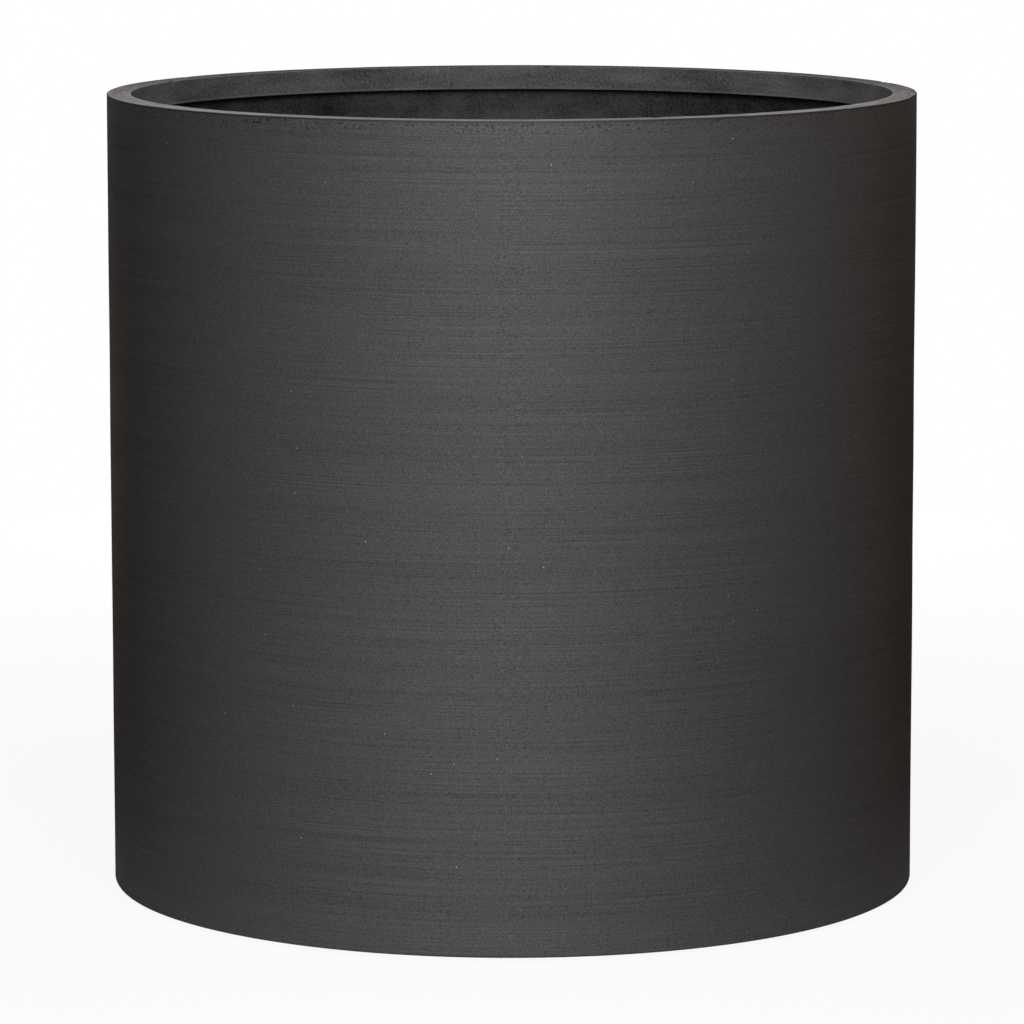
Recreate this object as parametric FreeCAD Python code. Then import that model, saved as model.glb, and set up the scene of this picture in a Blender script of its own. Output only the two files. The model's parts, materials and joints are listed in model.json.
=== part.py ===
import FreeCAD, Part
import math
import os

# Round floor planter: a brushed stone-composite shell, a fibre lining laid up inside it, a cast rim
# bonded on top, a rubber drain plug and rubber foot pads. Millimetres, +Z up, origin on the ground at
# the middle of the base.

# Shell
PLANTER_DIAMETER = 600.0
BODY_HEIGHT = 590.0
SHELL_WALL = 4.0
SHELL_FLOOR = 6.0
SHELL_CORNER_RADIUS = 24.0
BASE_EDGE_RADIUS = 2.5

# Lining
LINING_WALL = 4.0
LINING_FLOOR = 5.0
LINING_COVE_RADIUS = 20.0

# Rim
RIM_HEIGHT = 18.0
RIM_OVERHANG = 10.0
RIM_EDGE_RADIUS = 0.6
RIM_LIP_RADIUS = 1.0
TONGUE_HEIGHT = 8.0
BOND_LINE = 0.25

# Drain hole and its plug
DRAIN_DIAMETER = 30.0
PLUG_CLEARANCE = 0.3
PLUG_FLANGE = 10.0
PLUG_HEAD_THICKNESS = 5.0
PLUG_HEAD_RADIUS = 2.0
PLUG_TIP_RECESS = 1.0
PLUG_TIP_CHAMFER = 1.5
PLUG_GROOVE_COUNT = 2
PLUG_GROOVE_DEPTH = 1.2
PLUG_GROOVE_WIDTH = 1.6
GRIP_LENGTH = 30.0
GRIP_WIDTH = 9.0
GRIP_HEIGHT = 12.0
GRIP_RADIUS = 2.5

# Foot pads
PAD_COUNT = 6
PAD_DIAMETER = 40.0
PAD_THICKNESS = 4.0
PAD_EDGE_RADIUS = 1.0
PAD_INSET = 30.0
PAD_SOCKET_DEPTH = 1.0
PAD_SOCKET_CLEARANCE = 0.25

# Radii that the pieces share
outer_radius = PLANTER_DIAMETER / 2
shell_inner_radius = outer_radius - SHELL_WALL
lining_inner_radius = shell_inner_radius - LINING_WALL
rim_inner_radius = lining_inner_radius - RIM_OVERHANG
drain_radius = DRAIN_DIAMETER / 2
pad_circle_radius = outer_radius - PAD_INSET - PAD_DIAMETER / 2

# Heights that the pieces share
base_z = PAD_THICKNESS - PAD_SOCKET_DEPTH
shell_floor_z = base_z + SHELL_FLOOR
lining_floor_z = shell_floor_z + LINING_FLOOR
rim_top_z = base_z + BODY_HEIGHT
rim_base_z = rim_top_z - RIM_HEIGHT
tongue_top_z = rim_base_z + TONGUE_HEIGHT

UP = FreeCAD.Vector(0, 0, 1)
CENTRE = FreeCAD.Vector(0, 0, 0)


def profile_edges(corners):
    """Edges of a closed outline in the XZ plane. Each corner is (radius, height, fillet), and a fillet
    of 0 leaves it sharp. A fillet's arc meets both sides at fillet / tan(half the corner's angle)."""
    points = [FreeCAD.Vector(radius, 0, height) for radius, height, _ in corners]
    count = len(points)
    stretches = []
    for index, (_, _, fillet) in enumerate(corners):
        here = points[index]
        back = (points[index - 1] - here).normalize()
        ahead = (points[(index + 1) % count] - here).normalize()
        half_angle = back.getAngle(ahead) / 2
        reach = fillet / math.tan(half_angle)
        inward = (back + ahead).normalize() if fillet else CENTRE
        middle = here + inward * (fillet / math.sin(half_angle) - fillet)
        stretches.append((here + back * reach, middle, here + ahead * reach))
    edges = []
    for index, (start, middle, end) in enumerate(stretches):
        if corners[index][2]:
            edges.append(Part.Arc(start, middle, end).toShape())
        edges.append(Part.LineSegment(end, stretches[(index + 1) % count][0]).toShape())
    return edges


def turned(corners):
    """Solid of revolution about Z of the outline through the corners."""
    outline = Part.Wire(profile_edges(corners))
    return Part.Face(outline).revolve(CENTRE, UP, 360)


def pad_places():
    """Centres of the pads, evenly spaced on their circle."""
    step = 2 * math.pi / PAD_COUNT
    return [
        FreeCAD.Vector(pad_circle_radius * math.cos(step * i), pad_circle_radius * math.sin(step * i), 0)
        for i in range(PAD_COUNT)
    ]


def make_outer_shell():
    """Tub with a drain hole in its floor and a shallow socket under it for each pad."""
    shell = turned([
        (drain_radius, base_z, 0),
        (outer_radius, base_z, BASE_EDGE_RADIUS),
        (outer_radius, rim_base_z, 0),
        (shell_inner_radius, rim_base_z, 0),
        (shell_inner_radius, shell_floor_z, SHELL_CORNER_RADIUS),
        (drain_radius, shell_floor_z, 0),
    ])
    socket_radius = PAD_DIAMETER / 2 + PAD_SOCKET_CLEARANCE
    for place in pad_places():
        socket_base = place + UP * base_z
        shell = shell.cut(Part.makeCylinder(socket_radius, PAD_SOCKET_DEPTH, socket_base, UP))
    return shell


def make_fibre_lining():
    """Laminate against the whole inside of the shell; its top edge is a tongue that enters the rim."""
    return turned([
        (drain_radius, shell_floor_z, 0),
        (shell_inner_radius, shell_floor_z, SHELL_CORNER_RADIUS),
        (shell_inner_radius, tongue_top_z, 0),
        (lining_inner_radius, tongue_top_z, 0),
        (lining_inner_radius, lining_floor_z, LINING_COVE_RADIUS),
        (drain_radius, lining_floor_z, 0),
    ])


def make_rim_ring():
    """Square ring on the shell's top edge, with a groove underneath for the lining's tongue."""
    groove_inner = lining_inner_radius - BOND_LINE
    groove_outer = shell_inner_radius + BOND_LINE
    groove_roof = tongue_top_z + BOND_LINE
    return turned([
        (outer_radius, rim_base_z, 0),
        (outer_radius, rim_top_z, RIM_EDGE_RADIUS),
        (rim_inner_radius, rim_top_z, RIM_EDGE_RADIUS),
        (rim_inner_radius, rim_base_z, RIM_LIP_RADIUS),
        (groove_inner, rim_base_z, 0),
        (groove_inner, groove_roof, 0),
        (groove_outer, groove_roof, 0),
        (groove_outer, rim_base_z, 0),
    ])


def plug_stem_corners():
    """Stem outline from its tip up to the head, with evenly spaced grooves around it."""
    stem_radius = drain_radius - PLUG_CLEARANCE
    tip_z = base_z + PLUG_TIP_RECESS
    pitch = (lining_floor_z - tip_z) / (PLUG_GROOVE_COUNT + 1)
    corners = [
        (0, tip_z, 0),
        (stem_radius - PLUG_TIP_CHAMFER, tip_z, 0),
        (stem_radius, tip_z + PLUG_TIP_CHAMFER, 0),
    ]
    for number in range(1, PLUG_GROOVE_COUNT + 1):
        groove_base = tip_z + pitch * number - PLUG_GROOVE_WIDTH / 2
        groove_top = groove_base + PLUG_GROOVE_WIDTH
        corners += [
            (stem_radius, groove_base, 0),
            (stem_radius - PLUG_GROOVE_DEPTH, groove_base, 0),
            (stem_radius - PLUG_GROOVE_DEPTH, groove_top, 0),
            (stem_radius, groove_top, 0),
        ]
    return corners + [(stem_radius, lining_floor_z, 0)]


def make_drain_plug():
    """Ribbed stem in the drain hole, a flanged head on the lining's floor and a grip bar to pull."""
    head_radius = drain_radius + PLUG_FLANGE
    head_top_z = lining_floor_z + PLUG_HEAD_THICKNESS
    body = turned(plug_stem_corners() + [
        (head_radius, lining_floor_z, 0),
        (head_radius, head_top_z, PLUG_HEAD_RADIUS),
        (0, head_top_z, 0),
    ])
    grip_corner = FreeCAD.Vector(-GRIP_LENGTH / 2, -GRIP_WIDTH / 2, lining_floor_z)
    grip = Part.makeBox(GRIP_LENGTH, GRIP_WIDTH, PLUG_HEAD_THICKNESS + GRIP_HEIGHT, grip_corner)
    shown_edges = [edge for edge in grip.Edges if edge.BoundBox.ZMax > head_top_z]
    grip = grip.makeFillet(GRIP_RADIUS, shown_edges)
    return body.fuse(grip).removeSplitter()


def make_foot_pad(place):
    """Disc with a rounded lower edge, seated in its socket."""
    pad = turned([
        (0, 0, 0),
        (PAD_DIAMETER / 2, 0, PAD_EDGE_RADIUS),
        (PAD_DIAMETER / 2, PAD_THICKNESS, 0),
        (0, PAD_THICKNESS, 0),
    ])
    pad.translate(place)
    return pad


pieces = {
    "outer_shell": make_outer_shell(),
    "fibre_lining": make_fibre_lining(),
    "rim_ring": make_rim_ring(),
    "drain_plug": make_drain_plug(),
}
for number, place in enumerate(pad_places(), start=1):
    pieces[f"foot_pad_{number}"] = make_foot_pad(place)

os.makedirs("parts", exist_ok=True)
for name, piece in pieces.items():
    piece.exportStep(f"parts/{name}.step")
    print(name, "valid" if piece.isValid() else "INVALID", len(piece.Solids), round(piece.Volume))
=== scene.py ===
# %% [markdown]
# # A round floor planter
# The real pot is a cylinder of stone powder and resin, brushed round and round by hand before it
# set, with a square rim on top and a black fibre laminate inside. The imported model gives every
# size, so the first step loads it and keeps its box: what is made here has to stay inside it.

# %% Load the frame
import json
import math

import bmesh
import bpy
import numpy as np
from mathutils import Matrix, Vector


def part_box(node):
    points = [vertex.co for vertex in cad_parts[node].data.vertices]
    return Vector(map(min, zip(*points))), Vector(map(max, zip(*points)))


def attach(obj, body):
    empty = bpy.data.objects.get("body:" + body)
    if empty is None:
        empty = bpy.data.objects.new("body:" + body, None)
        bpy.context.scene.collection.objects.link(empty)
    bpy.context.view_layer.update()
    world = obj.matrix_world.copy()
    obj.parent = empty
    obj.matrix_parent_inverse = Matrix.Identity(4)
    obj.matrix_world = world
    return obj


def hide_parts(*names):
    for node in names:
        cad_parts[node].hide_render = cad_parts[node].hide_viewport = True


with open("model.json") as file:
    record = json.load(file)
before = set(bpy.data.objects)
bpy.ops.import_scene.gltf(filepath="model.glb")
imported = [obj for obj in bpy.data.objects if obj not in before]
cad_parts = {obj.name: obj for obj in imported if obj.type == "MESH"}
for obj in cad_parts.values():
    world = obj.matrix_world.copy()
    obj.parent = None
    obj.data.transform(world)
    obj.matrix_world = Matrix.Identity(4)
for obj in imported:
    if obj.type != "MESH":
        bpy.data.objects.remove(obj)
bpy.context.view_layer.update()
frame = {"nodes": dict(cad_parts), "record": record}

print("frame:", sorted(frame["nodes"]))

# %% [markdown]
# ## Sizes
# A node's box gives its outer radius and its heights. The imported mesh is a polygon, so the
# smallest of its four half widths is used, and a true circle of that radius stays inside it. The
# mouth's radius is in the record. Only what neither can tell is written here.

# %% Sizes from the frame
MM = 0.001
SHELL_WALL = 4 * MM
SHELL_FLOOR = 6 * MM
SHELL_CORNER = 24 * MM
LINING_WALL = 4 * MM
LINING_FLOOR = 5 * MM
LINING_COVE = 20 * MM
BOND_LINE = 0.25 * MM
DRAIN_RADIUS = 15 * MM


def round_size(node):
    """Radius and lowest and highest point of a node that is round about Z."""
    low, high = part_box(node)
    return min(high.x, high.y, -low.x, -low.y), low.z, high.z


wall_radius, base_z, wall_top = round_size("outer_shell")
rim_radius, rim_base, rim_top = round_size("rim_ring")
_, lining_base, tongue_top = round_size("fibre_lining")
outer_radius = min(wall_radius, rim_radius)
shell_inner = outer_radius - SHELL_WALL
lining_inner = shell_inner - LINING_WALL
floor_top = lining_base + LINING_FLOOR
mouth = next(mount for mount in frame["record"]["mounts"] if mount["name"] == "mouth")
mouth_radius = mouth["dims"]["r_mm"] * MM
print(f"radius {outer_radius:.4f}, mouth {mouth_radius:.4f}")
print(f"base {base_z:.4f}, rim {rim_base:.4f} to {rim_top:.4f}")

# %% [markdown]
# ## Camera
# A camera fitted to the pot's outline stands about fourteen radii away, looking down by about
# eight degrees. From that far a wall with straight sides still narrows a little towards its foot.

# %% Camera
CAMERA_DISTANCE = 14.0 * outer_radius
CAMERA_HEIGHT = 2.936 * outer_radius
CAMERA_PITCH = math.radians(8.213)
CAMERA_ROLL = math.radians(0.06)
CAMERA_YAW = math.radians(-0.007)
SENSOR_MM = 36.0
FOCAL_PIXELS = 5659.0
IMAGE_PIXELS = 1024.0
FAR_CLIP = 200.0

camera = bpy.data.objects.new("camera", bpy.data.cameras.new("camera"))
camera.data.sensor_width = SENSOR_MM
camera.data.lens = FOCAL_PIXELS / IMAGE_PIXELS * SENSOR_MM
camera.data.clip_end = FAR_CLIP
camera.location = (0.0, -CAMERA_DISTANCE, base_z + CAMERA_HEIGHT)
camera.rotation_euler = (math.pi / 2 - CAMERA_PITCH, CAMERA_ROLL, CAMERA_YAW)
bpy.context.scene.collection.objects.link(camera)
bpy.context.scene.camera = camera
bpy.context.scene.view_settings.view_transform = "Standard"
print(f"camera: {camera.data.lens:.1f} mm lens, {CAMERA_DISTANCE:.2f} m away")

# %% [markdown]
# ## Nodes and colours
# Every shader tree below is built with one helper, which sets a node's properties or its inputs by
# name and links the rest. Colours are written as sRGB hex, the way a picture editor shows them,
# and turned to the linear values that the renderer wants.


# %% Helpers for materials
def linear(hex_colour):
    """Linear RGBA of an sRGB hex colour: c / 12.92 below 0.04045, else ((c + 0.055) / 1.055) ** 2.4."""
    srgb = np.array([int(hex_colour[i:i + 2], 16) for i in (1, 3, 5)]) / 255
    rgb = np.where(srgb <= 0.04045, srgb / 12.92, ((srgb + 0.055) / 1.055) ** 2.4)
    return (*rgb.tolist(), 1.0)


def add_node(tree, kind, settings=(), links=()):
    """Adds a node. Settings are properties or input values, links are sockets that feed its inputs."""
    node = tree.nodes.new(kind)
    for key, value in dict(settings).items():
        if isinstance(key, str) and hasattr(node, key):
            setattr(node, key, value)
        else:
            node.inputs[key].default_value = value
    for key, socket in dict(links).items():
        tree.links.new(socket, node.inputs[key])
    return node


def new_material(name):
    """An empty material and its tree, with the output node that its surface goes to."""
    material = bpy.data.materials.new(name)
    material.use_nodes = True
    material.node_tree.nodes.clear()
    return material, material.node_tree, add_node(material.node_tree, "ShaderNodeOutputMaterial")


def per_metre(size_mm):
    """Pattern scale on coordinates in metres for features of that size in millimetres."""
    return 1000.0 / size_mm


# %% [markdown]
# ## Stage
# The pot stands on a plain pale floor in a studio. The floor shows the camera mostly its own white,
# which fades to pure white with distance, and keeps enough of the real light to hold the pot's
# shadow. Beside the pot a white sheet lights the foot of the wall from below; farther out the floor
# sends less light back. In a shiny surface the floor is white only far away.

# %% Floor
WHITE = "#ffffff"
FLOOR_RADIUS = 45.0
FLOOR_POINTS = 96
FLOOR_SEEN = "#e8e8e8"
FLOOR_BOUNCE = "#838387"
SHEET_REACH = (0.33, 0.47)
SHADOW_REACH = (0.5, 2.2)
NEAR_WHITE = 0.93
MIRRORED_FROM = (4.0, 9.0)

around = np.linspace(0, 2 * math.pi, FLOOR_POINTS, endpoint=False)
floor_points = FLOOR_RADIUS * np.stack([np.cos(around), np.sin(around), 0 * around], axis=1)
floor_mesh = bpy.data.meshes.new("floor")
floor_mesh.from_pydata(floor_points.tolist(), [], [list(range(len(around)))])
floor = bpy.data.objects.new("floor", floor_mesh)
bpy.context.scene.collection.objects.link(floor)

paper, tree, output = new_material("white_paper")
ray = add_node(tree, "ShaderNodeLightPath").outputs
place = add_node(tree, "ShaderNodeTexCoord").outputs["Object"]
distance = add_node(tree, "ShaderNodeVectorMath", {"operation": "LENGTH"}, {0: place}).outputs["Value"]
fade = add_node(tree, "ShaderNodeMapRange", {
    "interpolation_type": "SMOOTHSTEP", "From Min": SHADOW_REACH[0], "From Max": SHADOW_REACH[1],
    "To Min": NEAR_WHITE, "To Max": 1.0}, {"Value": distance})
straight = add_node(tree, "ShaderNodeMath", {"operation": "MAXIMUM"}, {
    0: ray["Is Camera Ray"], 1: ray["Is Transmission Ray"]})
direct = add_node(tree, "ShaderNodeMath", {"operation": "MULTIPLY"}, {
    0: straight.outputs[0], 1: fade.outputs["Result"]})
far = add_node(tree, "ShaderNodeMapRange", {
    "interpolation_type": "SMOOTHSTEP", "From Min": MIRRORED_FROM[0], "From Max": MIRRORED_FROM[1]},
    {"Value": distance})
mirrored = add_node(tree, "ShaderNodeMath", {"operation": "MULTIPLY"}, {
    0: ray["Is Glossy Ray"], 1: far.outputs["Result"]})
share = add_node(tree, "ShaderNodeMath", {"operation": "MAXIMUM"}, {
    0: direct.outputs[0], 1: mirrored.outputs[0]})
off_sheet = add_node(tree, "ShaderNodeMapRange", {
    "interpolation_type": "SMOOTHSTEP", "From Min": SHEET_REACH[0], "From Max": SHEET_REACH[1]},
    {"Value": distance})
bounce = add_node(tree, "ShaderNodeMix", {
    "data_type": "RGBA", 6: linear(FLOOR_SEEN), 7: linear(FLOOR_BOUNCE)},
    {0: off_sheet.outputs["Result"]})
tone = add_node(tree, "ShaderNodeMix", {"data_type": "RGBA", 7: linear(FLOOR_SEEN)}, {
    0: ray["Is Camera Ray"], 6: bounce.outputs[2]})
matt = add_node(tree, "ShaderNodeBsdfDiffuse", {}, {"Color": tone.outputs[2]})
glow = add_node(tree, "ShaderNodeEmission", {"Color": linear(WHITE)})
mixed = add_node(tree, "ShaderNodeMixShader", {}, {
    0: share.outputs[0], 1: matt.outputs[0], 2: glow.outputs[0]})
tree.links.new(mixed.outputs[0], output.inputs["Surface"])
floor_mesh.materials.append(paper)
print(f"floor: radius {FLOOR_RADIUS:.0f} m, white share {NEAR_WHITE} near the pot")

# %% [markdown]
# ## Room
# Around the floor the room is dim and slightly warm, with white paper some way behind the pot. The
# camera sees white all round, but a shiny surface sees the paper only where it hangs, so the sides
# of a dark pot stay dark, as they do in the photograph.

# %% Room
ROOM_LIGHT = 0.02
ROOM_COLOUR = "#fff4ee"
PAPER_SPREAD = (math.cos(math.radians(18)), math.cos(math.radians(8)))

world = bpy.data.worlds.new("studio")
bpy.context.scene.world = world
world.use_nodes = True
tree = world.node_tree
tree.nodes.clear()
ray = add_node(tree, "ShaderNodeLightPath").outputs
direction = add_node(tree, "ShaderNodeTexCoord").outputs["Generated"]
axes = add_node(tree, "ShaderNodeSeparateXYZ", {}, {0: direction})
behind = add_node(tree, "ShaderNodeMapRange", {
    "interpolation_type": "SMOOTHSTEP", "From Min": PAPER_SPREAD[0], "From Max": PAPER_SPREAD[1]},
    {"Value": axes.outputs["Y"]})
bounced = add_node(tree, "ShaderNodeMath", {"operation": "MAXIMUM"}, {
    0: ray["Is Glossy Ray"], 1: ray["Is Transmission Ray"]})
mirrored = add_node(tree, "ShaderNodeMath", {"operation": "MULTIPLY"}, {
    0: bounced.outputs[0], 1: behind.outputs["Result"]})
seen = add_node(tree, "ShaderNodeMath", {"operation": "MAXIMUM"}, {
    0: ray["Is Camera Ray"], 1: mirrored.outputs[0]})
room = add_node(tree, "ShaderNodeBackground", {"Color": linear(ROOM_COLOUR), "Strength": ROOM_LIGHT})
white = add_node(tree, "ShaderNodeBackground", {"Color": linear(WHITE)})
mixed = add_node(tree, "ShaderNodeMixShader", {}, {
    0: seen.outputs[0], 1: room.outputs[0], 2: white.outputs[0]})
add_node(tree, "ShaderNodeOutputWorld", {}, {"Surface": mixed.outputs[0]})
print("room light:", ROOM_LIGHT)

# %% [markdown]
# ## Lights
# The photograph's wall is brightest in the middle, falls off quickly to both sides and dims a little
# towards its foot, so soft boxes stand close in front: a tall one, a key box above it and two low
# ones. The rim is light all round while the lining is not, so small boxes with grids hang over the
# rim and the mouth; a grid is a lamp's narrow spread in degrees, which also makes its middle
# brighter. A warm glow comes from each side, and a box behind lights the back from below the rim.
# The power that makes white paper at a lamp's reach render at level 1 is pi squared times the reach
# squared.

# %% Soft boxes
OPEN_SPREAD = 180
SOFT_BOXES = {
    "front_box": dict(
        at=(0, -1.3, 0.66), aim=(0, 0, 0.3), size=(0.5, 1.25), level=0.28),
    "key_box": dict(
        at=(0.05, -1.15, 1.1), aim=(0, 0, 0.45), size=(0.55, 0.45), level=0.79),
    "foot_box": dict(
        at=(0, -1.2, 0.1), aim=(0, 0, 0.05), size=(0.5, 0.15), level=0.18, spread=140),
    "left_foot_box": dict(
        at=(-0.6, -1.1, 0.1), aim=(0, 0, 0.05), size=(0.4, 0.15), level=0.06, spread=140),
    "top_box": dict(
        at=(-0.18, -0.3, 2.1), aim=(0, 0, 0.3), size=(0.7, 0.7), level=0.10),
    "left_grid": dict(
        at=(-0.23, -0.13, 0.95), aim=(-0.23, -0.13, 0.293), size=(0.16, 0.16), level=0.25, spread=100),
    "right_grid": dict(
        at=(0.23, -0.13, 0.95), aim=(0.23, -0.13, 0.293), size=(0.16, 0.16), level=0.21, spread=100),
    "inside_grid": dict(
        at=(0, 0.25, 1.5), aim=(0, -0.2, 0.3), size=(0.16, 0.16), level=0.035, spread=60),
    "left_glow": dict(
        at=(-1.0, 1.5, 0.12), aim=(0, 0, 0.12), size=(0.3, 0.2), level=0.018, colour="#ffc49f"),
    "right_glow": dict(
        at=(1.5, 0.3, 0.32), aim=(0, 0, 0.3), size=(0.3, 0.25), level=0.042, colour="#ffb060"),
    "back_box": dict(
        at=(0, 2.0, 0.32), aim=(0, 0, 0.3), size=(0.9, 0.45), level=0.70, colour="#fffaf6"),
}
for name, box in SOFT_BOXES.items():
    lamp = bpy.data.lights.new(name, "AREA")
    lamp.shape = "RECTANGLE"
    lamp.size, lamp.size_y = box["size"]
    lamp.spread = math.radians(box.get("spread", OPEN_SPREAD))
    lamp.color = linear(box.get("colour", WHITE))[:3]
    offset = Vector(box["at"]) - Vector(box["aim"])
    reach = offset.length - outer_radius
    lamp.energy = box["level"] * math.pi ** 2 * reach ** 2
    holder = bpy.data.objects.new(name, lamp)
    holder.location = box["at"]
    holder.rotation_euler = (-offset).to_track_quat("-Z", "Y").to_euler()
    bpy.context.scene.collection.objects.link(holder)
    print(f"{name}: {lamp.energy:.0f} W")

# %% [markdown]
# ## Layers of grain
# Stone, laminate and rubber are all told by fine grain of a known size. Each layer is noise on the
# object's own coordinates, divided by a length along X, Y and Z. A layer that is long in X and Y and
# thin in Z draws strokes that run round the pot, with no seam, because nothing is unrolled. Flecks,
# pits and specks are dots about scattered points. Weights add the layers up to a tone or a height,
# and one function ends every material with a matt surface that has that height as its bump.

# %% Grain helpers
NEUTRAL = 0.5
DOT_CORE = 0.4


def layered_grain(tree, place, layers):
    """A noise socket for each named layer (sizes in mm along X, Y, Z, detail, turn in degrees)."""
    found = {}
    for name, (sizes, detail, turn) in layers.items():
        mapped = add_node(tree, "ShaderNodeMapping", {
            "vector_type": "TEXTURE", "Scale": [size * MM for size in sizes],
            "Rotation": [math.radians(angle) for angle in turn]}, {"Vector": place})
        noise = add_node(tree, "ShaderNodeTexNoise", {"Scale": 1.0, "Detail": detail},
                         {"Vector": mapped.outputs[0]})
        found[name] = noise.outputs[0]
    return found


def dots(tree, place, spacing_mm, size_mm):
    """Dots about scattered points: 1 up to DOT_CORE times the size from a point, 0 past the size."""
    cells = add_node(tree, "ShaderNodeTexVoronoi", {"Scale": per_metre(spacing_mm)}, {"Vector": place})
    reach = size_mm / spacing_mm
    return add_node(tree, "ShaderNodeMapRange", {"From Min": reach, "From Max": DOT_CORE * reach},
                    {"Value": cells.outputs["Distance"]}).outputs[0]


def weigh(tree, middle, grain, weights):
    """Middle plus each named weight times (its layer - NEUTRAL), as a chain of multiply-adds."""
    total = middle - NEUTRAL * sum(weights.values())
    for name, weight in weights.items():
        step = add_node(tree, "ShaderNodeMath", {"operation": "MULTIPLY_ADD", 1: weight},
                        {0: grain[name]})
        if isinstance(total, float):
            step.inputs[2].default_value = total
        else:
            tree.links.new(total, step.inputs[2])
        total = step.outputs[0]
    return total


def rough_surface(tree, output, colour, ior, roughness, share, height, relief, strength=0.5):
    """Feeds the output with a shader of that colour. Its roughness runs over its range as share goes
    from 0 to 1, and its height from 0 to 1 is relief metres deep."""
    matt = add_node(tree, "ShaderNodeMapRange", {"To Min": roughness[0], "To Max": roughness[1]},
                    {"Value": share})
    bump = add_node(tree, "ShaderNodeBump", {"Strength": strength, "Distance": relief},
                    {"Height": height})
    shader = add_node(tree, "ShaderNodeBsdfPrincipled", {"IOR": ior}, {
        "Base Color": colour, "Roughness": matt.outputs[0], "Normal": bump.outputs[0]})
    tree.links.new(shader.outputs[0], output.inputs["Surface"])


# %% [markdown]
# ## Brushed stone
# Stone powder in resin, brushed round by hand while it was soft and left matt. The eye sees a dark
# neutral grey with long, thin strokes that come and go, a fine grit and a few white stone flecks.
# Next to the rim the brush missed a patchy band, which has more grit and small pits, painted near-black
# as painted shade in their hollows. The grit is drawn about a millimetre wide, coarser than it is, so
# that it shows in the picture.

# %% Brushed stone
STONE_DARK, STONE_LIGHT = "#2b2b2c", "#515151"
STONE_COOL, STONE_WARM = "#f1f6ff", "#fff8f1"
STONE_LAYERS = {
    "hairs": ((220, 220, 0.65), 1, (0, 0, 0)),
    "strokes": ((230, 230, 5.0), 2, (0, 0, 0)),
    "bands": ((900, 900, 28), 1, (0, 0, 0)),
    "patches": ((60, 60, 24), 1, (0, 0, 0)),
    "misses": ((30, 30, 30), 1, (0, 0, 0)),
    "grit": ((1.1, 1.1, 0.6), 1, (0, 0, 0)),
    "clouds": ((160, 160, 110), 2, (0, 0, 0)),
}
STONE_TONE = {"hairs": 1.2, "strokes": 0.12, "bands": 0.15, "grit": 2.2, "rough": 2.8}
STONE_HEIGHT = {"hairs": 0.5, "strokes": 0.3, "grit": 0.5, "rough": 0.5, "pits": -1.0}
BRUSHED_NOISE = (0.36, 0.62)
BRUSHED_LEAST = 0.45
MISSED_BAND = (rim_top - 12 * MM, rim_top - 5 * MM)
MISSED_NOISE = (0.34, 0.52)
MISSED_LEAST = 0.25
BRUSHED_IN_BAND = 0.7
FLECK, FLECK_SPACING, FLECK_SIZE = "#a5a39f", 20.0, 0.62
# The pits' near-black colour is painted shade in small hollows.
PIT_SHADE, PIT_SPACING, PIT_SIZE = "#090909", 4.0, 1.4
STONE_IOR = 1.5
STONE_ROUGHNESS = (0.74, 0.62)
STONE_RELIEF = 0.25 * MM


def brushed_stone(tree, place):
    """Colour, tone from 0 to 1 and height of the brushed stone at a place."""
    grain = layered_grain(tree, place, STONE_LAYERS)
    axes = add_node(tree, "ShaderNodeSeparateXYZ", {}, {0: place})
    in_band = add_node(tree, "ShaderNodeMapRange", {
        "interpolation_type": "SMOOTHSTEP", "From Min": MISSED_BAND[0], "From Max": MISSED_BAND[1]},
        {"Value": axes.outputs["Z"]}).outputs[0]
    patchy = add_node(tree, "ShaderNodeMapRange", {
        "From Min": MISSED_NOISE[0], "From Max": MISSED_NOISE[1], "To Min": MISSED_LEAST},
        {"Value": grain["misses"]}).outputs[0]
    missed = add_node(tree, "ShaderNodeMath", {"operation": "MULTIPLY"},
                      {0: in_band, 1: patchy}).outputs[0]
    brushed = add_node(tree, "ShaderNodeMapRange", {
        "From Min": BRUSHED_NOISE[0], "From Max": BRUSHED_NOISE[1], "To Min": BRUSHED_LEAST},
        {"Value": grain["patches"]}).outputs[0]
    brushed = add_node(tree, "ShaderNodeMix", {"data_type": "FLOAT", 3: BRUSHED_IN_BAND},
                       {0: missed, 2: brushed}).outputs[0]
    grain["hairs"] = add_node(tree, "ShaderNodeMix", {"data_type": "FLOAT", 2: NEUTRAL},
                              {0: brushed, 3: grain["hairs"]}).outputs[0]
    grain["rough"] = add_node(tree, "ShaderNodeMix", {"data_type": "FLOAT", 2: NEUTRAL},
                              {0: missed, 3: grain["grit"]}).outputs[0]
    pits = dots(tree, place, PIT_SPACING, PIT_SIZE)
    grain["pits"] = add_node(tree, "ShaderNodeMath", {"operation": "MULTIPLY"},
                             {0: pits, 1: missed}).outputs[0]
    flecks = dots(tree, place, FLECK_SPACING, FLECK_SIZE)
    tone = weigh(tree, NEUTRAL, grain, STONE_TONE)
    height = weigh(tree, NEUTRAL, grain, STONE_HEIGHT)
    tint = add_node(tree, "ShaderNodeMix", {
        "data_type": "RGBA", 6: linear(STONE_COOL), 7: linear(STONE_WARM)},
        {0: grain["clouds"]}).outputs[2]
    colour = add_node(tree, "ShaderNodeMix", {
        "data_type": "RGBA", 6: linear(STONE_DARK), 7: linear(STONE_LIGHT)}, {0: tone}).outputs[2]
    colour = add_node(tree, "ShaderNodeMix", {
        "data_type": "RGBA", "blend_type": "MULTIPLY", 0: 1.0}, {6: colour, 7: tint}).outputs[2]
    # Flecks are the stone's own colour; the pits' near-black is painted shade.
    for mark, shown in ((FLECK, flecks), (PIT_SHADE, grain["pits"])):
        colour = add_node(tree, "ShaderNodeMix", {"data_type": "RGBA", 7: linear(mark)},
                          {0: shown, 6: colour}).outputs[2]
    return colour, tone, height


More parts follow.
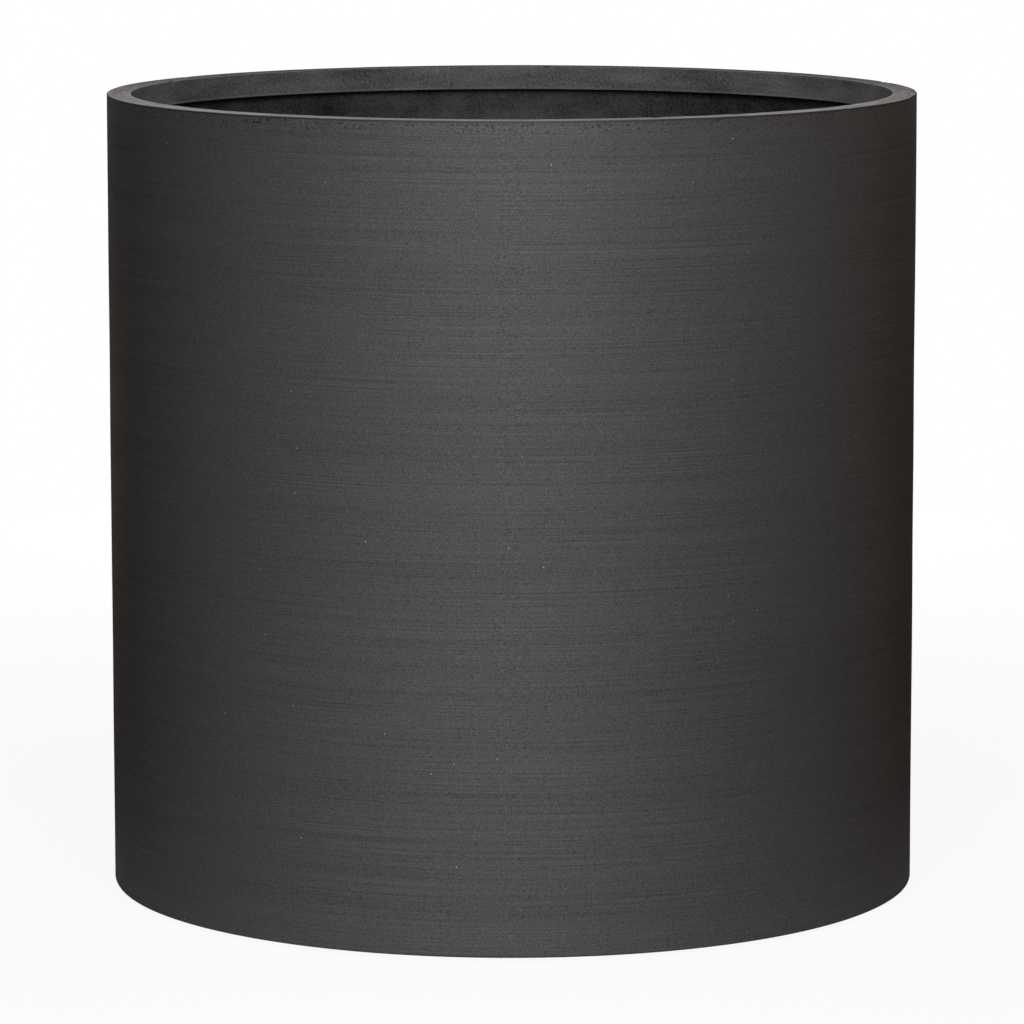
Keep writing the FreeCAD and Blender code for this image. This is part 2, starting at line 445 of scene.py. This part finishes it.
stone, tree, output = new_material("brushed_stone_resin")
place = add_node(tree, "ShaderNodeTexCoord").outputs["Object"]
colour, tone, height = brushed_stone(tree, place)
rough_surface(tree, output, colour, STONE_IOR, STONE_ROUGHNESS, tone, height, STONE_RELIEF)
print(stone.name, "nodes:", len(tree.nodes))

# %% [markdown]
# ## Sanded rim
# The rim is cast from the same stone, and its top was sanded flat with a disc. Sanding leaves fine
# rings round the mouth and lays the stone powder open, so the top is lighter and a little warm; its
# colour is made lighter still as painted light falling on the top.
# Its outer face carries on the wall's stone, with a thin dark line of painted shade just under the
# edge, and the face inside the mouth is as the mould left it: darker, with light specks, a worn upper
# edge and a painted highlight along its lower edge. Height and radius tell these places apart, so each
# is a mask over a range of one of them.

# %% Sanded rim
# The sanded top's colours are partly the opened stone powder and partly painted light on the top.
SANDED_LIT_DARK, SANDED_LIT_LIGHT = "#545050", "#8d8887"
MOULDED_DARK, MOULDED_LIGHT = "#39393a", "#7d7d7e"
# A thin dark line of painted shade just under the outer edge.
PAINTED_SHADE_LINE = "#262322"
RIM_LAYERS = {
    "powder": ((1.2, 1.2, 1.2), 2, (0, 0, 0)),
    "smears": ((60, 60, 14), 2, (0, 0, 0)),
}
SANDING_LAYERS = {
    "rings": ((1.4, 24, 24), 2, (0, 0, 0)),
    "sweeps": ((4, 60, 60), 1, (0, 0, 0)),
}
SANDED_MIDDLE = 0.65
SANDED_TONE = {"rings": 2.0, "sweeps": 0.8, "powder": 2.6, "worn_edge": 0.5}
MOULDED_MIDDLE = 0.55
# The lip's lower edge is lightened as a painted highlight.
MOULDED_TONE = {"powder": 1.9, "smears": 1.2, "lit_lip_edge": 0.3}
RIM_MASKS = {
    "on_top": ("height", rim_top - 0.45 * MM, rim_top - 0.2 * MM),
    "off_edge": ("radius", outer_radius - 0.75 * MM, outer_radius - 1.0 * MM),
    # The band just under the outer edge where the painted shade line lies.
    "on_shade_line": ("height", rim_top - 1.9 * MM, rim_top - 1.1 * MM),
    "in_mouth": ("radius", mouth_radius + 1.2 * MM, mouth_radius + 0.4 * MM),
    "worn_edge": ("radius", mouth_radius + 2.6 * MM, mouth_radius + 1.0 * MM),
    # The lip's lower edge, where the painted highlight lies.
    "lit_lip_edge": ("height", rim_base + 2.4 * MM, rim_base + 1.2 * MM),
}
SPECK, SPECK_SPACING, SPECK_SIZE = "#989593", 4.0, 0.55
RIM_ROUGHNESS = (0.64, 0.82)

rim_stone, tree, output = new_material("sanded_stone_resin")
place = add_node(tree, "ShaderNodeTexCoord").outputs["Object"]
colour, _, height = brushed_stone(tree, place)
axes = add_node(tree, "ShaderNodeSeparateXYZ", {}, {0: place}).outputs
flat = add_node(tree, "ShaderNodeVectorMath", {"operation": "MULTIPLY", 1: (1, 1, 0)}, {0: place})
radius = add_node(tree, "ShaderNodeVectorMath", {"operation": "LENGTH"},
                  {0: flat.outputs[0]}).outputs["Value"]
polar = add_node(tree, "ShaderNodeCombineXYZ", {}, {0: radius, 1: axes["X"], 2: axes["Y"]})
grain = layered_grain(tree, place, RIM_LAYERS)
grain.update(layered_grain(tree, polar.outputs[0], SANDING_LAYERS))
measured = {"height": axes["Z"], "radius": radius}
for name, (along, start, end) in RIM_MASKS.items():
    grain[name] = add_node(tree, "ShaderNodeMapRange", {"From Min": start, "From Max": end},
                           {"Value": measured[along]}).outputs[0]
sanded = add_node(tree, "ShaderNodeMath", {"operation": "MULTIPLY"},
                  {0: grain["on_top"], 1: grain["off_edge"]}).outputs[0]
sanded_tone = weigh(tree, SANDED_MIDDLE, grain, SANDED_TONE)
moulded_tone = weigh(tree, MOULDED_MIDDLE, grain, MOULDED_TONE)
# The top's colour: sanded stone, made lighter still as painted light.
sanded_lit_colour = add_node(tree, "ShaderNodeMix", {
    "data_type": "RGBA", 6: linear(SANDED_LIT_DARK), 7: linear(SANDED_LIT_LIGHT)},
    {0: sanded_tone}).outputs[2]
moulded_colour = add_node(tree, "ShaderNodeMix", {
    "data_type": "RGBA", 6: linear(MOULDED_DARK), 7: linear(MOULDED_LIGHT)},
    {0: moulded_tone}).outputs[2]
# Painted shade: a dark line just under the outer edge.
colour = add_node(tree, "ShaderNodeMix", {"data_type": "RGBA", 7: linear(PAINTED_SHADE_LINE)},
                  {0: grain["on_shade_line"], 6: colour}).outputs[2]
for shown, finish in ((grain["in_mouth"], moulded_colour), (sanded, sanded_lit_colour)):
    colour = add_node(tree, "ShaderNodeMix", {"data_type": "RGBA"},
                      {0: shown, 6: colour, 7: finish}).outputs[2]
bare = add_node(tree, "ShaderNodeMath", {"operation": "MAXIMUM"},
                {0: grain["in_mouth"], 1: sanded}).outputs[0]
specks = add_node(tree, "ShaderNodeMath", {"operation": "MULTIPLY"},
                  {0: dots(tree, place, SPECK_SPACING, SPECK_SIZE), 1: bare}).outputs[0]
colour = add_node(tree, "ShaderNodeMix", {"data_type": "RGBA", 7: linear(SPECK)},
                  {0: specks, 6: colour}).outputs[2]
height = add_node(tree, "ShaderNodeMix", {"data_type": "FLOAT"},
                  {0: sanded, 2: height, 3: sanded_tone}).outputs[0]
rough_surface(tree, output, colour, STONE_IOR, RIM_ROUGHNESS, sanded, height, STONE_RELIEF)
print(rim_stone.name, "nodes:", len(tree.nodes))

# %% [markdown]
# ## Fibre laminate
# Chopped glass mat, wetted with black polyester resin and rolled down inside the stone. The resin is
# fairly smooth, and the strands lie in every direction just under it and show as faint light
# threads. Each strand layer is noise that is long one way and thin the others, and is turned
# differently, so that on any part of the wall or floor some of the layers lie flat.

# %% Fibre laminate
RESIN_DARK, RESIN_LIGHT = "#141415", "#49494c"
STRAND = "#5b5b5d"
STRAND_SIZES = (34, 1.6, 1.6)
STRAND_TURNS = {
    "strands_1": (0, 0, 20),
    "strands_2": (0, 50, 70),
    "strands_3": (0, 85, 0),
    "strands_4": (0, -40, 130),
}
STRAND_NOISE = (0.60, 0.80)
STRAND_SHARE = 0.3
RESIN_LAYERS = {
    "rolled": ((26, 26, 26), 3, (0, 0, 0)),
    "dust": ((1.8, 1.8, 1.8), 2, (0, 0, 0)),
    "wiped": ((170, 170, 9), 2, (0, 0, 0)),
}
RESIN_MIDDLE = 0.45
RESIN_TONE = {"rolled": 2.0, "dust": 2.2, "wiped": 0.6}
LAMINATE_HEIGHT = {"threads": 0.5, "rolled": 0.6, "dust": 0.15}
RESIN_IOR = 1.55
RESIN_ROUGHNESS = (0.46, 0.66)
LAMINATE_RELIEF = 0.4 * MM

laminate, tree, output = new_material("black_fibre_laminate")
place = add_node(tree, "ShaderNodeTexCoord").outputs["Object"]
grain = layered_grain(tree, place, RESIN_LAYERS)
strands = layered_grain(tree, place, {
    name: (STRAND_SIZES, 1, turn) for name, turn in STRAND_TURNS.items()})
threads = None
for noise in strands.values():
    thread = add_node(tree, "ShaderNodeMapRange", {
        "From Min": STRAND_NOISE[0], "From Max": STRAND_NOISE[1]}, {"Value": noise}).outputs[0]
    if threads is not None:
        thread = add_node(tree, "ShaderNodeMath", {"operation": "MAXIMUM"},
                          {0: threads, 1: thread}).outputs[0]
    threads = thread
grain["threads"] = threads
tone = weigh(tree, RESIN_MIDDLE, grain, RESIN_TONE)
height = weigh(tree, NEUTRAL, grain, LAMINATE_HEIGHT)
colour = add_node(tree, "ShaderNodeMix", {
    "data_type": "RGBA", 6: linear(RESIN_DARK), 7: linear(RESIN_LIGHT)}, {0: tone}).outputs[2]
shown = add_node(tree, "ShaderNodeMath", {"operation": "MULTIPLY", 1: STRAND_SHARE},
                 {0: threads}).outputs[0]
colour = add_node(tree, "ShaderNodeMix", {"data_type": "RGBA", 7: linear(STRAND)},
                  {0: shown, 6: colour}).outputs[2]
rough_surface(tree, output, colour, RESIN_IOR, RESIN_ROUGHNESS, grain["rolled"], height, LAMINATE_RELIEF)
print(laminate.name, "nodes:", len(tree.nodes))

# %% [markdown]
# ## Rubber
# The drain plug is moulded natural rubber with a dull skin, and the foot pads are cut from a
# sheet of harder, open-grained rubber. Both are black with a grey bloom. One function makes both
# finishes from the size of the grain and the bloom.

# %% Rubber
RUBBER_MIDDLE = 0.4
RUBBER_TONE = {"bloom": 1.2, "skin": 0.6}
RUBBER_IOR = 1.52
ROUGHNESS_SPREAD = 0.08
SKIN_RELIEF = 0.1
SKIN_STRENGTH = 0.4


def rubber(name, dark, bloom, grain_mm, bloom_mm, roughness):
    """Black rubber: noise at the bloom's size mixes two greys, and noise at the grain's size, deep by
    SKIN_RELIEF times that size, is its height."""
    material, tree, output = new_material(name)
    place = add_node(tree, "ShaderNodeTexCoord").outputs["Object"]
    grain = layered_grain(tree, place, {
        "skin": ((grain_mm,) * 3, 2, (0, 0, 0)), "bloom": ((bloom_mm,) * 3, 3, (0, 0, 0))})
    tone = weigh(tree, RUBBER_MIDDLE, grain, RUBBER_TONE)
    colour = add_node(tree, "ShaderNodeMix", {
        "data_type": "RGBA", 6: linear(dark), 7: linear(bloom)}, {0: tone}).outputs[2]
    rough_surface(tree, output, colour, RUBBER_IOR,
                  (roughness - ROUGHNESS_SPREAD, roughness + ROUGHNESS_SPREAD), grain["bloom"],
                  grain["skin"], SKIN_RELIEF * grain_mm * MM, SKIN_STRENGTH)
    return material


plug_rubber = rubber("moulded_plug_rubber", "#161617", "#343435", 0.8, 12.0, 0.62)
pad_rubber = rubber("cut_pad_rubber", "#1a1a1b", "#303030", 1.2, 6.0, 0.85)
print("rubber:", plug_rubber.name, pad_rubber.name)

# %% [markdown]
# ## Turned surfaces
# The pot is a body of revolution, so a piece is an outline in radius and height carried round Z.
# An outline is only its corners: each gives its fillet, and how far apart the points on the side
# after it may be. A spin modifier could do it as well, but whole arrays let the same points be
# moved a little afterwards, where a hand-made surface isn't quite true.

# %% Outlines and grids
ARC_STEPS = 7
TINY = 1e-9


def outline(corners, closed=True):
    """Points (radius, height) of a polygon with rounded corners (radius, height, fillet, spacing).
    An arc starts fillet / tan(half the corner's angle) before the corner; a side has equal steps."""
    points = np.array([corner[:2] for corner in corners], float)
    back = np.roll(points, 1, axis=0) - points
    ahead = np.roll(points, -1, axis=0) - points
    back /= np.linalg.norm(back, axis=1, keepdims=True)
    ahead /= np.linalg.norm(ahead, axis=1, keepdims=True)
    half = np.arccos(np.clip((back * ahead).sum(axis=1), -1, 1)) / 2
    arcs = []
    for i, (_, _, fillet, _) in enumerate(corners):
        start = points[i] + back[i] * fillet / math.tan(half[i])
        middle = (back[i] + ahead[i]) / max(np.linalg.norm(back[i] + ahead[i]), TINY)
        centre = points[i] + middle * fillet / math.sin(half[i])
        turn = (math.pi - 2 * half[i]) * np.linspace(0, 1, ARC_STEPS if fillet else 1)[:, None]
        arcs.append(centre + (start - centre) * np.cos(turn) - back[i] * fillet * np.sin(turn))
    rows = []
    for arc, following, corner in zip(arcs, arcs[1:] + arcs[:1], corners):
        gap = following[0] - arc[-1]
        steps = max(1, round(np.linalg.norm(gap) / corner[3]))
        rows += [arc, arc[-1] + gap * np.linspace(0, 1, steps + 1)[1:-1, None]]
    return np.concatenate(rows if closed else rows[:-1])


def turned(rows, columns, centre=(0.0, 0.0)):
    """Points of an outline carried round an upright axis through the centre: (r cos a, r sin a, z) for
    each row (r, z) and angle a."""
    angle = np.linspace(0, 2 * math.pi, columns, endpoint=False)
    radius, height = rows[:, :1], rows[:, 1:]
    return np.stack([centre[0] + radius * np.cos(angle), centre[1] + radius * np.sin(angle),
                     height + 0 * angle], axis=2)


def smooth_step(low, high, values):
    """0 below low and 1 above high, with 3 t^2 - 2 t^3 between them; low may be the larger one."""
    t = np.clip((values - low) / (high - low), 0, 1)
    return t * t * (3 - 2 * t)


# %% [markdown]
# ## Hand-made unevenness
# No hand-made pot is a true cylinder. A sum of sine waves in random directions, all of about one
# length, gives a smooth swell in space, so that two pieces that meet swell alike. It only ever takes
# away, because the pot may not grow out of its box.

# %% Unevenness and pieces
WAVES = 24
WAVE_LENGTHS = (0.7, 1.4)
SHARP_ANGLE = math.radians(40)
POLE_MERGE = 1e-7


def swell(points, wavelength, seed):
    """Smooth unevenness from 0 to 1: 0.5 plus a sum of sine waves in random directions, scaled so that
    two sigma reach the ends."""
    rng = np.random.default_rng(seed)
    direction = rng.normal(size=(3, WAVES))
    direction /= np.linalg.norm(direction, axis=0)
    length = wavelength * rng.uniform(*WAVE_LENGTHS, WAVES)
    phase = rng.uniform(0, 2 * math.pi, WAVES)
    waves = np.sin(points @ (direction * 2 * math.pi / length) + phase)
    return np.clip(0.5 + waves.sum(axis=-1) / (4 * math.sqrt(WAVES / 2)), 0, 1)


def pull_in(points, amount):
    """Moves points towards the Z axis by an amount each."""
    radius = np.hypot(points[..., 0], points[..., 1])
    factor = 1 - amount / np.maximum(radius, TINY)
    return points * np.stack([factor, factor, np.ones_like(factor)], axis=-1)


def add_piece(name, points, material, body, node, closed=True):
    """Makes the mesh of a grid that joins up round each row, and from its last row to its first where
    it is closed. An open grid starts and ends at a pole, whose points are merged."""
    rows, columns = points.shape[:2]
    index = np.arange(rows * columns).reshape(rows, columns)
    right = np.roll(index, -1, axis=1)
    quads = np.stack([index, right, np.roll(right, -1, axis=0), np.roll(index, -1, axis=0)], axis=2)
    quads = quads if closed else quads[:-1]
    mesh = bpy.data.meshes.new(name)
    mesh.from_pydata(points.reshape(-1, 3).tolist(), [], quads.reshape(-1, 4).tolist())
    if not closed:
        shape = bmesh.new()
        shape.from_mesh(mesh)
        bmesh.ops.remove_doubles(shape, verts=shape.verts, dist=POLE_MERGE)
        shape.to_mesh(mesh)
        shape.free()
    mesh.polygons.foreach_set("use_smooth", np.ones(len(mesh.polygons), bool))
    mesh.set_sharp_from_angle(angle=SHARP_ANGLE)
    mesh.materials.append(material)
    piece = bpy.data.objects.new(name, mesh)
    bpy.context.scene.collection.objects.link(piece)
    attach(piece, body)
    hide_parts(node)
    print(f"{name}: {len(mesh.loops) - 2 * len(mesh.polygons)} triangles")


# %% [markdown]
# ## The wall
# The wall and its floor are one thin stone casting with a drain hole. The outside has close points
# for the unevenness, the faces that lie against the lining have few. The underside has six shallow
# sockets with drafted edges, as a mould leaves them, where the foot pads are glued in.

# %% The wall
WALL_COLUMNS = 600
WALL_STEP = 9 * MM
SOCKET_STEP = 1.5 * MM
HIDDEN_STEP = 60 * MM
BASE_EDGE = 2.5 * MM
UNDERSIDE_BAND = 0.1 * BASE_EDGE
OUTER_SWELL = 0.35 * MM
SWELL_LENGTH = 120 * MM
SWELL_SEED = 11
SOCKET_DEPTH = 1.0 * MM
SOCKET_CLEARANCE = 0.25 * MM
SOCKET_DRAFT = 2.0 * MM
PAD_NODES = sorted(node for node in frame["nodes"] if node.startswith("foot_pad"))


def outside_swell(points):
    """How far the outside is pulled in: the swell, which fades out BASE_EDGE inside the outer radius."""
    depth = outer_radius - np.hypot(points[..., 0], points[..., 1])
    return OUTER_SWELL * swell(points, SWELL_LENGTH, SWELL_SEED) * smooth_step(BASE_EDGE, 0, depth)


pad_boxes = [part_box(node) for node in PAD_NODES]
pad_centres = np.array([[(low.x + high.x) / 2, (low.y + high.y) / 2] for low, high in pad_boxes])
pad_radius = (pad_boxes[0][1].x - pad_boxes[0][0].x) / 2
pad_circle = np.hypot(*pad_centres[0])
socket_edge = pad_radius + SOCKET_CLEARANCE + SOCKET_DRAFT

wall_points = turned(outline([
    (DRAIN_RADIUS, base_z, 0, WALL_STEP),
    (pad_circle - socket_edge, base_z, 0, SOCKET_STEP),
    (pad_circle + socket_edge, base_z, 0, WALL_STEP),
    (outer_radius, base_z, BASE_EDGE, WALL_STEP),
    (outer_radius, wall_top, 0, WALL_STEP),
    (shell_inner, wall_top, 0, HIDDEN_STEP),
    (shell_inner, base_z + SHELL_FLOOR, SHELL_CORNER, HIDDEN_STEP),
    (DRAIN_RADIUS, base_z + SHELL_FLOOR, 0, WALL_STEP),
]), WALL_COLUMNS)
wall_points = pull_in(wall_points, outside_swell(wall_points))
to_pad = np.linalg.norm(wall_points[:, :, None, :2] - pad_centres, axis=3).min(axis=2)
underside = wall_points[..., 2] < base_z + UNDERSIDE_BAND
in_socket = smooth_step(socket_edge, socket_edge - SOCKET_DRAFT, to_pad)
wall_points[..., 2] += underside * SOCKET_DEPTH * in_socket
add_piece("brushed_wall", wall_points, stone, "planter", "outer_shell")

# %% [markdown]
# ## The rim
# The rim is a square ring of the same stone with a groove underneath, in which the lining's tongue
# is bonded. Its edges are barely eased, and such edges chip: a few seeded nicks sit on both of
# them, and one is at the right of the photograph. The sanded top dips by a hair here and there.

# %% The rim
RIM_COLUMNS = 1024
RIM_STEP = 2 * MM
RIM_EDGE = 0.6 * MM
LIP_EDGE = 0.4 * MM
TOP_DIP = 0.15 * MM
TOP_DIP_LENGTH = 90 * MM
TOP_DIP_SEED = 12
NICK_SEED = 5
NICK_COUNT = 16
OUTER_NICKS = 0.6
NICK_DEPTH = (0.3 * MM, 0.8 * MM)
NICK_SPREAD = (1.5 * MM, 3.5 * MM)
SIDE_NICK_ANGLE = math.radians(-10)
SIDE_NICK_DEPTH = 1.2 * MM


def rim_nicks(points):
    """How deep nicks cut at each point: a sum of depth x exp(-(distance / spread)^2) about points on
    the two edges."""
    rng = np.random.default_rng(NICK_SEED)
    angle = rng.uniform(0, 2 * math.pi, NICK_COUNT)
    depth = rng.uniform(*NICK_DEPTH, NICK_COUNT)
    spread = rng.uniform(*NICK_SPREAD, NICK_COUNT)
    edge = np.where(rng.random(NICK_COUNT) < OUTER_NICKS, outer_radius, mouth_radius)
    angle[0], depth[0], edge[0] = SIDE_NICK_ANGLE, SIDE_NICK_DEPTH, outer_radius
    centre = np.stack([edge * np.cos(angle), edge * np.sin(angle), np.full(NICK_COUNT, rim_top)], axis=1)
    away = np.linalg.norm(points[..., None, :] - centre, axis=-1)
    return (depth * np.exp(-(away / spread) ** 2)).sum(axis=-1)


rim_points = turned(outline([
    (outer_radius, rim_base, 0, RIM_STEP),
    (outer_radius, rim_top, RIM_EDGE, RIM_STEP),
    (mouth_radius, rim_top, RIM_EDGE, RIM_STEP),
    (mouth_radius, rim_base, LIP_EDGE, RIM_STEP),
    (lining_inner - BOND_LINE, rim_base, 0, HIDDEN_STEP),
    (lining_inner - BOND_LINE, tongue_top + BOND_LINE, 0, HIDDEN_STEP),
    (shell_inner + BOND_LINE, tongue_top + BOND_LINE, 0, HIDDEN_STEP),
    (shell_inner + BOND_LINE, rim_base, 0, HIDDEN_STEP),
]), RIM_COLUMNS)
nicks = rim_nicks(rim_points)
on_outside = np.hypot(rim_points[..., 0], rim_points[..., 1]) > (outer_radius + mouth_radius) / 2
rim_points = pull_in(rim_points, outside_swell(rim_points) + np.where(on_outside, nicks, -nicks))
near_top = smooth_step(rim_top - RIM_EDGE, rim_top, rim_points[..., 2])
rim_points[..., 2] -= near_top * TOP_DIP * swell(rim_points, TOP_DIP_LENGTH, TOP_DIP_SEED) + nicks
add_piece("cast_rim", rim_points, rim_stone, "planter", "rim_ring")

# %% [markdown]
# ## The lining
# The laminate follows the stone inside, with a wide cove at the floor, and its upper edge is the
# tongue in the rim's groove. Wet mat never lies quite flat: it swells over a hand's width, puckers
# over a finger's width, and is double where one piece of mat laps the next.

# %% The lining
LINING_COLUMNS = 600
LINING_STEP = 7 * MM
MAT_SWELL, MAT_SWELL_LENGTH, MAT_SWELL_SEED = 0.8 * MM, 130 * MM, 13
MAT_PUCKER, MAT_PUCKER_LENGTH, MAT_PUCKER_SEED = 0.3 * MM, 24 * MM, 14
MAT_LAP = 0.8 * MM
LAPS_MOST = 1.5
LAP_EDGE = 9 * MM
LAP_HEIGHT = 80 * MM
LAP_WAVE = 7 * MM
LAP_WAVES = ((5, 0.0, 1.0), (13, 1.0, 0.5))
LAP_ANGLES = np.radians([35, 150, 268])
LAP_WIDTH = 45 * MM
PLUG_SEAT = (40 * MM, 80 * MM)
BELOW_RIM = (1 * MM, -12 * MM)


def mat_laps(points):
    """Thickness of the laps, up to LAPS_MOST times MAT_LAP: the floor's mat up the wall to a wavy line,
    a sum of (count, phase, share) waves round the pot, and three upright joins above the floor."""
    angle = np.arctan2(points[..., 1], points[..., 0])
    wave = sum(share * np.sin(count * angle + phase) for count, phase, share in LAP_WAVES)
    top = LAP_HEIGHT + LAP_WAVE * wave
    on_floor = smooth_step(top + LAP_EDGE, top, points[..., 2])
    off = np.abs((angle[..., None] - LAP_ANGLES + math.pi) % (2 * math.pi) - math.pi) * lining_inner
    joins = smooth_step(LAP_WIDTH / 2 + LAP_EDGE, LAP_WIDTH / 2, off).max(axis=-1)
    joins = joins * smooth_step(floor_top, floor_top + LINING_COVE, points[..., 2])
    return MAT_LAP * np.clip(on_floor + joins, 0, LAPS_MOST)


lining_points = turned(outline([
    (DRAIN_RADIUS, lining_base, 0, HIDDEN_STEP),
    (shell_inner, lining_base, SHELL_CORNER, HIDDEN_STEP),
    (shell_inner, tongue_top, 0, HIDDEN_STEP),
    (lining_inner, tongue_top, 0, LINING_STEP),
    (lining_inner, floor_top, LINING_COVE, LINING_STEP),
    (DRAIN_RADIUS, floor_top, 0, LINING_STEP),
]), LINING_COLUMNS)
radius = np.hypot(lining_points[..., 0], lining_points[..., 1])
hollow = MAT_SWELL * swell(lining_points, MAT_SWELL_LENGTH, MAT_SWELL_SEED)
hollow += MAT_PUCKER * swell(lining_points, MAT_PUCKER_LENGTH, MAT_PUCKER_SEED)
hollow += LAPS_MOST * MAT_LAP - mat_laps(lining_points)
above_stone = lining_points[..., 2] > lining_base + LINING_FLOOR / 2
inside = smooth_step(shell_inner, lining_inner, radius) * above_stone
below_rim = smooth_step(rim_base + BELOW_RIM[0], rim_base + BELOW_RIM[1], lining_points[..., 2])
on_wall = smooth_step(lining_inner - LINING_COVE, lining_inner, radius)
off_seat = smooth_step(*PLUG_SEAT, radius)
lining_points = pull_in(lining_points, -hollow * inside * below_rim * on_wall)
lining_points[..., 2] -= hollow * inside * below_rim * (1 - on_wall) * off_seat
add_piece("laid_up_lining", lining_points, laminate, "planter", "fibre_lining")

# %% [markdown]
# ## The drain plug
# For use outdoors the drain is opened by pulling a rubber plug up and out by its bar. The plug is
# one surface: circles from the tip's pole up the stem, with its two sealing grooves, and over the
# head; then the circles turn into the bar's outline, a superellipse, and climb it to its top.

# %% The drain plug
PLUG_COLUMNS = 96
PLUG_STEP = 2 * MM
PLUG_CLEARANCE = 0.3 * MM
PLUG_TIP_CHAMFER = 1.5 * MM
PLUG_GROOVE_DEPTH = 1.2 * MM
PLUG_GROOVE_WIDTH = 1.6 * MM
PLUG_GROOVES = (0.4, 0.75)
GROOVE_FLARE = 2
GROOVE_FILLET = 0.4
PLUG_HEAD_THICKNESS = 5 * MM
PLUG_HEAD_EDGE = 2 * MM
BAR_LENGTH, BAR_WIDTH = 30 * MM, 9 * MM
BAR_EDGE = 2.5 * MM
BAR_FOOT = 1.5 * MM
BAR_SQUARENESS = 5

head_radius, plug_tip, bar_top = round_size("drain_plug")
stem_radius = DRAIN_RADIUS - PLUG_CLEARANCE
head_top = floor_top + PLUG_HEAD_THICKNESS
groove = PLUG_GROOVE_WIDTH / 2
stem = []
for share in PLUG_GROOVES:
    middle = plug_tip + share * (floor_top - plug_tip)
    stem += [(stem_radius, middle - GROOVE_FLARE * groove, 0, PLUG_STEP),
             (stem_radius - PLUG_GROOVE_DEPTH, middle - groove, GROOVE_FILLET * groove, PLUG_STEP),
             (stem_radius - PLUG_GROOVE_DEPTH, middle + groove, GROOVE_FILLET * groove, PLUG_STEP),
             (stem_radius, middle + GROOVE_FLARE * groove, 0, PLUG_STEP)]
plug_rows = outline([
    (0, plug_tip, 0, PLUG_STEP),
    (stem_radius - PLUG_TIP_CHAMFER, plug_tip, 0, PLUG_STEP),
    (stem_radius, plug_tip + PLUG_TIP_CHAMFER, 0, PLUG_STEP),
    *stem,
    (stem_radius, floor_top, 0, PLUG_STEP),
    (head_radius, floor_top, 0, PLUG_STEP),
    (head_radius, head_top, PLUG_HEAD_EDGE, PLUG_STEP),
    (0, head_top, 0, head_radius),
], closed=False)[:-1]


def bar_loops(rows, columns):
    """Loops of a superellipse for rows (inset, height): x = a |cos t|^(2/n) and y = b |sin t|^(2/n),
    with the signs of cos t and sin t. Here a and b are the half length and width less the inset."""
    t = np.linspace(0, 2 * math.pi, columns, endpoint=False)
    across, along = np.cos(t), np.sin(t)
    x = np.sign(across) * np.abs(across) ** (2 / BAR_SQUARENESS)
    y = np.sign(along) * np.abs(along) ** (2 / BAR_SQUARENESS)
    inset, height = rows[:, :1], rows[:, 1:]
    half_length = np.maximum(BAR_LENGTH / 2 - inset, 0)
    half_width = np.maximum(BAR_WIDTH / 2 - inset, 0)
    return np.stack([half_length * x, half_width * y, height + 0 * t], axis=2)


quarter = np.linspace(0, math.pi / 2, ARC_STEPS)
foot = np.stack([-BAR_FOOT * (1 - np.sin(quarter)), head_top + BAR_FOOT * (1 - np.cos(quarter))], axis=1)
edge = np.stack([BAR_EDGE * (1 - np.cos(quarter)), bar_top - BAR_EDGE * (1 - np.sin(quarter))], axis=1)
bar = bar_loops(np.concatenate([foot, edge]), PLUG_COLUMNS)
centre_line = bar[-1:] * [1, 0, 1]
pole = bar[-1:] * [0, 0, 1]
plug_points = np.concatenate([turned(plug_rows, PLUG_COLUMNS), bar, centre_line, pole])
add_piece("rubber_plug", plug_points, plug_rubber, "plug", "drain_plug", closed=False)

# %% [markdown]
# ## Foot pads
# Six rubber discs keep the stone off the floor and let water out. They are alike, so one loop turns
# each from the same outline, about the centre of its own node.

# %% Foot pads
PAD_COLUMNS = 64
PAD_STEP = 4 * MM
PAD_EDGE = 1 * MM

for node, centre, (low, high) in zip(PAD_NODES, pad_centres, pad_boxes):
    rows = outline([
        (0, low.z, 0, PAD_STEP),
        (pad_radius, low.z, PAD_EDGE, PAD_STEP),
        (pad_radius, high.z, 0, PAD_STEP),
        (0, high.z, 0, PAD_STEP),
    ], closed=False)
    pad_points = turned(rows, PAD_COLUMNS, centre)
    add_piece(f"rubber_{node}", pad_points, pad_rubber, "planter", node, closed=False)
